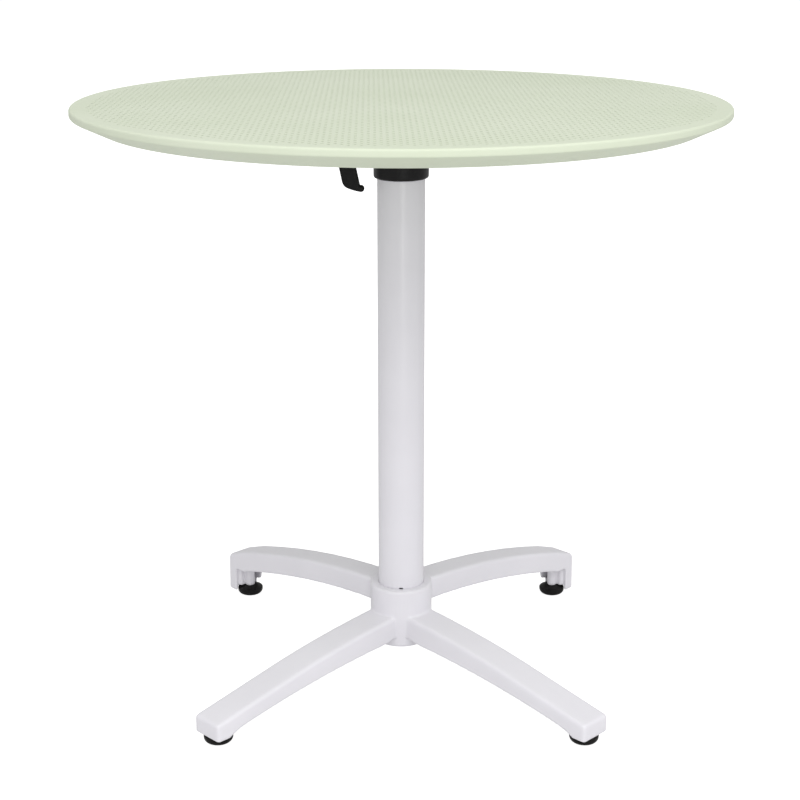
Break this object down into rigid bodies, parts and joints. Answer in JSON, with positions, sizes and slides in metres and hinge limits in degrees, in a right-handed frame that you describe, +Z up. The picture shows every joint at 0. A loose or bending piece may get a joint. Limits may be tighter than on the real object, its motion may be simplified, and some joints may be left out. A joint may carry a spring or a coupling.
{
  "type": "bistro table",
  "caption": "Round flip-top bistro table: moulded top on a tilt head with release lever, round column and nesting four-leg base on screw feet.",
  "frame": {"origin": "on the floor, under the axis of the column", "axes": "+Z up, +X to the right seen from the low legs, +Y towards the high legs; the release lever is on the -X side"},
  "size_m": [0.8, 0.8, 0.75],
  "materials": {
    "green_resin": "moulded resin, fine satin grain",
    "white_paint": "powder coat on cast aluminium, fine texture",
    "column_paint": "satin powder coat",
    "black_paint": "satin black powder coat",
    "black_nylon": "moulded nylon, slight sheen",
    "black_rubber": "matt",
    "zinc_steel": "zinc plated",
    "white_nylon": "turned nylon"
  },
  "bodies": {
    "stand": {"base_casting": "white_paint", "column_tube": "column_paint", "column_head": "black_paint", "tie_rod": "zinc_steel", "tie_rod_washer_lower": "zinc_steel", "tie_rod_nut_lower": "zinc_steel", "tie_rod_washer_upper": "zinc_steel", "tie_rod_nut_upper": "zinc_steel", "tilt_bush_left": "white_nylon", "tilt_bush_right": "white_nylon", "rest_buffer_left": "black_rubber", "rest_buffer_right": "black_rubber"},
    "top": {"table_top": "green_resin", "top_plate": "black_paint", "tilt_pin": "zinc_steel", "tilt_pin_clip_left": "zinc_steel", "tilt_pin_clip_right": "zinc_steel", "plate_screw_1": "zinc_steel", "plate_screw_2": "zinc_steel", "plate_screw_3": "zinc_steel", "plate_screw_4": "zinc_steel", "plate_screw_5": "zinc_steel", "plate_screw_6": "zinc_steel", "plate_screw_7": "zinc_steel", "plate_screw_8": "zinc_steel", "lever_pin": "zinc_steel", "lever_spring": "zinc_steel"},
    "lever": {"latch_lever": "black_nylon"},
    "stud_back_right": {"foot_stud_back_right": "zinc_steel"},
    "glide_back_right": {"foot_glide_back_right": "black_nylon"},
    "stud_back_left": {"foot_stud_back_left": "zinc_steel"},
    "glide_back_left": {"foot_glide_back_left": "black_nylon"},
    "stud_front_left": {"foot_stud_front_left": "zinc_steel"},
    "glide_front_left": {"foot_glide_front_left": "black_nylon"},
    "stud_front_right": {"foot_stud_front_right": "zinc_steel"},
    "glide_front_right": {"foot_glide_front_right": "black_nylon"}
  },
  "joints": [
    {"name": "top_tilt", "type": "hinge", "parent": "stand", "child": "top", "pos_m": [0, 0.025, 0.712], "axis": [-1, 0, 0], "range_deg": [0, 90]},
    {"name": "lever_release", "type": "hinge", "parent": "top", "child": "lever", "pos_m": [-0.072, -0.016, 0.7165], "axis": [0, 1, 0], "range_deg": [-8, 16], "stiffness_Nm_per_rad": 0.15, "springref_deg": -20.05, "deforming": ["lever_spring"]},
    {"name": "foot_back_right_travel", "type": "slide", "parent": "stand", "child": "stud_back_right", "axis": [0, 0, -1], "range_m": [0, 0.01]},
    {"name": "foot_back_right_swivel", "type": "hinge", "parent": "stud_back_right", "child": "glide_back_right", "pos_m": [0.2238, 0.2238, 0.005], "axis": [0, 0, 1], "continuous": true},
    {"name": "foot_back_left_travel", "type": "slide", "parent": "stand", "child": "stud_back_left", "axis": [0, 0, -1], "range_m": [0, 0.01]},
    {"name": "foot_back_left_swivel", "type": "hinge", "parent": "stud_back_left", "child": "glide_back_left", "pos_m": [-0.2238, 0.2238, 0.005], "axis": [0, 0, 1], "continuous": true},
    {"name": "foot_front_left_travel", "type": "slide", "parent": "stand", "child": "stud_front_left", "axis": [0, 0, -1], "range_m": [0, 0.01]},
    {"name": "foot_front_left_swivel", "type": "hinge", "parent": "stud_front_left", "child": "glide_front_left", "pos_m": [-0.2238, -0.2238, 0.005], "axis": [0, 0, 1], "continuous": true},
    {"name": "foot_front_right_travel", "type": "slide", "parent": "stand", "child": "stud_front_right", "axis": [0, 0, -1], "range_m": [0, 0.01]},
    {"name": "foot_front_right_swivel", "type": "hinge", "parent": "stud_front_right", "child": "glide_front_right", "pos_m": [0.2238, -0.2238, 0.005], "axis": [0, 0, 1], "continuous": true}
  ]
}
